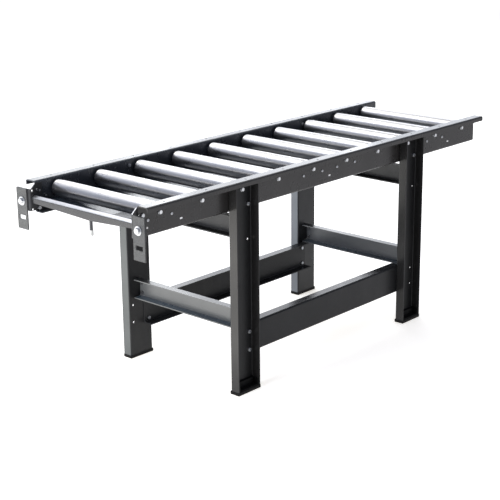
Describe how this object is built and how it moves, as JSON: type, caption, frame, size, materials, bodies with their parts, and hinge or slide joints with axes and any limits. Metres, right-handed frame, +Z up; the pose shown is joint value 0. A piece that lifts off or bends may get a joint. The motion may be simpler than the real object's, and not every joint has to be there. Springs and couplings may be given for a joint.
{
  "type": "roller outfeed table",
  "caption": "Freestanding steel outfeed table: free-turning rollers between folded side rails over a drip tray with a front drain, on four braced channel legs with height-set hook plates.",
  "frame": {"origin": "on the floor, under the middle of the overall box", "axes": "+X along the table from the drain and hook end to the plain end, +Y across the table, +Z up"},
  "size_m": [2.0374, 0.656, 0.8],
  "materials": {
    "rail_coat": "satin dark grey powder coat",
    "leg_coat": "satin dark grey powder coat",
    "beam_coat": "satin dark grey powder coat",
    "bracket_coat": "satin dark grey powder coat",
    "hook_coat": "mid grey coat, lightly speckled",
    "tray_coat": "glossy blue-grey coat",
    "roller_steel": "bright drawn tube",
    "housing_steel": "pressed zinc-plated steel",
    "bearing_steel": "ground steel",
    "axle_steel": "turned steel",
    "zinc": "bright zinc plating",
    "screw_black": "blackened steel",
    "drain_steel": "dark coat",
    "nipple_zinc": "plated steel",
    "foot_plastic": "black moulded plastic",
    "clip_nylon": "pale nylon"
  },
  "bodies": {
    "frame": {"near_rail": "rail_coat", "far_rail": "rail_coat", "near_front_leg": "leg_coat", "near_rear_leg": "leg_coat", "far_front_leg": "leg_coat", "far_rear_leg": "leg_coat", "front_top_crossmember": "beam_coat", "rear_top_crossmember": "beam_coat", "front_lower_crossmember": "beam_coat", "rear_lower_crossmember": "beam_coat", "near_stretcher": "beam_coat", "far_stretcher": "beam_coat", "near_front_bracket": "bracket_coat", "far_front_bracket": "bracket_coat", "tray_floor": "tray_coat", "tray_side_walls": "tray_coat", "tray_front_wall": "tray_coat", "tray_rear_wall": "tray_coat", "roller_bearings": "bearing_steel", "roller_axles": "axle_steel", "axle_bolts": "zinc", "axle_washers": "zinc", "bracket_bolts": "zinc", "bracket_nuts": "zinc", "leg_bolts": "zinc", "leg_nuts": "zinc", "stretcher_bolts": "zinc", "stretcher_nuts": "zinc", "tray_screws": "zinc", "tray_spacers": "zinc", "slot_clips": "clip_nylon", "crossmember_bolts": "screw_black", "crossmember_nuts": "screw_black", "drain_spigot": "drain_steel", "drain_nipple": "nipple_zinc", "leg_feet": "foot_plastic"},
    "roller_01": {"roller_tube_01": "roller_steel", "roller_ends_01": "housing_steel"},
    "roller_02": {"roller_tube_02": "roller_steel", "roller_ends_02": "housing_steel"},
    "roller_03": {"roller_tube_03": "roller_steel", "roller_ends_03": "housing_steel"},
    "roller_04": {"roller_tube_04": "roller_steel", "roller_ends_04": "housing_steel"},
    "roller_05": {"roller_tube_05": "roller_steel", "roller_ends_05": "housing_steel"},
    "roller_06": {"roller_tube_06": "roller_steel", "roller_ends_06": "housing_steel"},
    "roller_07": {"roller_tube_07": "roller_steel", "roller_ends_07": "housing_steel"},
    "roller_08": {"roller_tube_08": "roller_steel", "roller_ends_08": "housing_steel"},
    "roller_09": {"roller_tube_09": "roller_steel", "roller_ends_09": "housing_steel"},
    "roller_10": {"roller_tube_10": "roller_steel", "roller_ends_10": "housing_steel"},
    "near_hook": {"near_hook_plate": "hook_coat", "near_hook_fasteners": "zinc"},
    "far_hook": {"far_hook_plate": "hook_coat", "far_hook_fasteners": "zinc"}
  },
  "joints": [
    {"name": "roller_01_spin", "type": "hinge", "parent": "frame", "child": "roller_01", "pos_m": [-0.87935, 0, 0.76], "axis": [0, 1, 0], "continuous": true},
    {"name": "roller_02_spin", "type": "hinge", "parent": "frame", "child": "roller_02", "pos_m": [-0.67935, 0, 0.76], "axis": [0, 1, 0], "continuous": true},
    {"name": "roller_03_spin", "type": "hinge", "parent": "frame", "child": "roller_03", "pos_m": [-0.47935, 0, 0.76], "axis": [0, 1, 0], "continuous": true},
    {"name": "roller_04_spin", "type": "hinge", "parent": "frame", "child": "roller_04", "pos_m": [-0.27935, 0, 0.76], "axis": [0, 1, 0], "continuous": true},
    {"name": "roller_05_spin", "type": "hinge", "parent": "frame", "child": "roller_05", "pos_m": [-0.07935, 0, 0.76], "axis": [0, 1, 0], "continuous": true},
    {"name": "roller_06_spin", "type": "hinge", "parent": "frame", "child": "roller_06", "pos_m": [0.12065, 0, 0.76], "axis": [0, 1, 0], "continuous": true},
    {"name": "roller_07_spin", "type": "hinge", "parent": "frame", "child": "roller_07", "pos_m": [0.32065, 0, 0.76], "axis": [0, 1, 0], "continuous": true},
    {"name": "roller_08_spin", "type": "hinge", "parent": "frame", "child": "roller_08", "pos_m": [0.52065, 0, 0.76], "axis": [0, 1, 0], "continuous": true},
    {"name": "roller_09_spin", "type": "hinge", "parent": "frame", "child": "roller_09", "pos_m": [0.72065, 0, 0.76], "axis": [0, 1, 0], "continuous": true},
    {"name": "roller_10_spin", "type": "hinge", "parent": "frame", "child": "roller_10", "pos_m": [0.92065, 0, 0.76], "axis": [0, 1, 0], "continuous": true},
    {"name": "near_hook_height", "type": "slide", "parent": "frame", "child": "near_hook", "axis": [0, 0, 1], "range_m": [-0.012, 0.012]},
    {"name": "far_hook_height", "type": "slide", "parent": "frame", "child": "far_hook", "axis": [0, 0, 1], "range_m": [-0.012, 0.012]}
  ]
}
